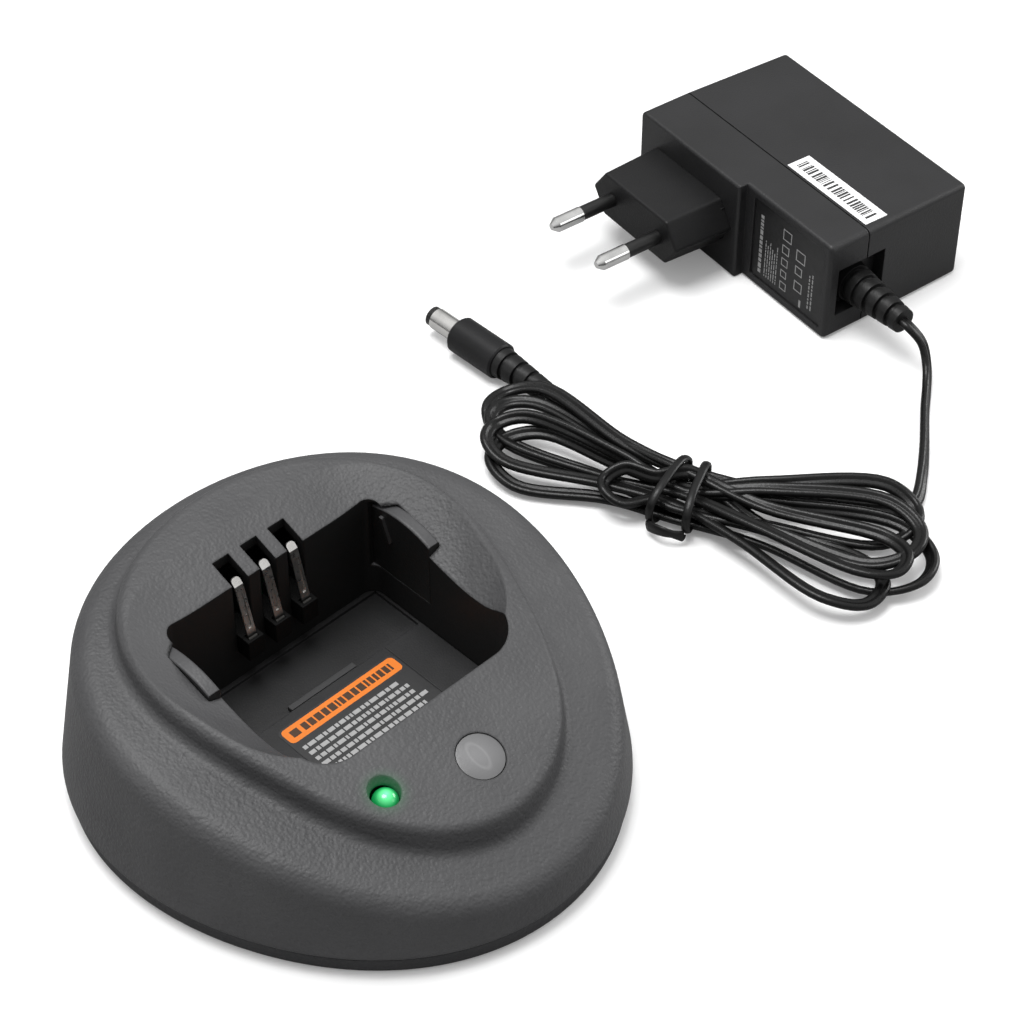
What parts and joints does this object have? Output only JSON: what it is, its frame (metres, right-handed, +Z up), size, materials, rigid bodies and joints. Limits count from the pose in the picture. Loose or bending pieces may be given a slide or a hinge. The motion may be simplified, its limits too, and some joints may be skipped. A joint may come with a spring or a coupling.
{
  "type": "radio charging cradle with mains power supply",
  "caption": "Desktop charging cradle for a hand-held radio, with sprung charging contacts in its pocket, and a plug-in mains power supply with a tied cord and barrel plug",
  "frame": {"origin": "middle of the whole set's footprint on the bench the set lies on", "axes": "+Z up, +Y towards the back of the cradle where its supply socket is, +X from the cradle towards the mains adapter"},
  "size_m": [0.2856, 0.1526, 0.0435],
  "materials": {
    "housing": "fine leather grain",
    "cover": "fine grain",
    "foot_rubber": "plain",
    "screw_steel": "zinc plated",
    "floor_plastic": "smooth",
    "rail_plastic": "smooth",
    "block_plastic": "smooth",
    "contact_metal": "nickel plated",
    "terminal_metal": "tinned",
    "lamp_lens": "tinted translucent green",
    "circuit_board": "solder mask",
    "lamp_body": "clear",
    "badge_plastic": "smoky translucent",
    "label_sheet": "printed film",
    "chip_plastic": "moulded",
    "capacitor_can": "satin",
    "sink_metal": "anodised",
    "adapter_plastic": "fine grain",
    "plug_plastic": "fine grain",
    "pin_metal": "nickel plated",
    "sleeve_plastic": "smooth",
    "rating_sheet": "printed film",
    "barcode_sheet": "white sticker with black bars",
    "relief_rubber": "satin",
    "transformer_core": "ferrite and yellow tape",
    "tip_plastic": "smooth",
    "cord_jacket": "satin",
    "tie_plastic": "soft sleeve"
  },
  "bodies": {
    "cradle": {"top_housing": "housing", "bottom_cover": "cover", "rubber_feet": "foot_rubber", "housing_screws": "screw_steel", "pocket_floor": "floor_plastic", "guide_rail_left": "rail_plastic", "guide_rail_right": "rail_plastic", "contact_block": "block_plastic", "contact_terminals": "terminal_metal", "light_pipe": "lamp_lens", "indicator_board": "circuit_board", "status_led": "lamp_body", "round_badge": "badge_plastic", "pocket_label": "label_sheet", "main_board": "circuit_board", "charge_controller": "chip_plastic", "power_inductor": "chip_plastic", "filter_capacitors": "capacitor_can", "heat_sink": "sink_metal", "board_screws": "screw_steel", "dc_jack": "block_plastic", "dc_jack_pin": "terminal_metal"},
    "contact_left": {"contact_left": "contact_metal"},
    "contact_centre": {"contact_centre": "contact_metal"},
    "contact_right": {"contact_right": "contact_metal"},
    "power_supply": {"adapter_rear_shell": "adapter_plastic", "adapter_front_cover": "adapter_plastic", "plug_block": "plug_plastic", "plug_pins": "pin_metal", "pin_sleeves": "sleeve_plastic", "rating_label": "rating_sheet", "barcode_sticker": "barcode_sheet", "adapter_strain_relief": "relief_rubber", "adapter_board": "circuit_board", "transformer": "transformer_core", "adapter_capacitors": "capacitor_can", "adapter_heat_sink": "sink_metal", "pin_contact_springs": "terminal_metal", "dc_plug_body": "relief_rubber", "dc_plug_strain_relief": "relief_rubber", "dc_plug_barrel": "pin_metal", "dc_plug_insulator": "tip_plastic", "power_cord": "cord_jacket", "cord_tie": "tie_plastic"}
  },
  "joints": [
    {"name": "contact_left_flex", "type": "hinge", "parent": "cradle", "child": "contact_left", "pos_m": [-0.09188, 0.0084, 0.024], "axis": [-1, 0, 0], "range_deg": [0, 4.5], "stiffness_Nm_per_rad": 0.05},
    {"name": "contact_centre_flex", "type": "hinge", "parent": "cradle", "child": "contact_centre", "pos_m": [-0.08438, 0.0084, 0.024], "axis": [-1, 0, 0], "range_deg": [0, 4.5], "stiffness_Nm_per_rad": 0.05},
    {"name": "contact_right_flex", "type": "hinge", "parent": "cradle", "child": "contact_right", "pos_m": [-0.07688, 0.0084, 0.024], "axis": [-1, 0, 0], "range_deg": [0, 4.5], "stiffness_Nm_per_rad": 0.05},
    {"name": "power_supply_lift", "type": "slide", "parent": "cradle", "child": "power_supply", "axis": [0, 0, 1], "range_m": [0, 0.05]}
  ]
}
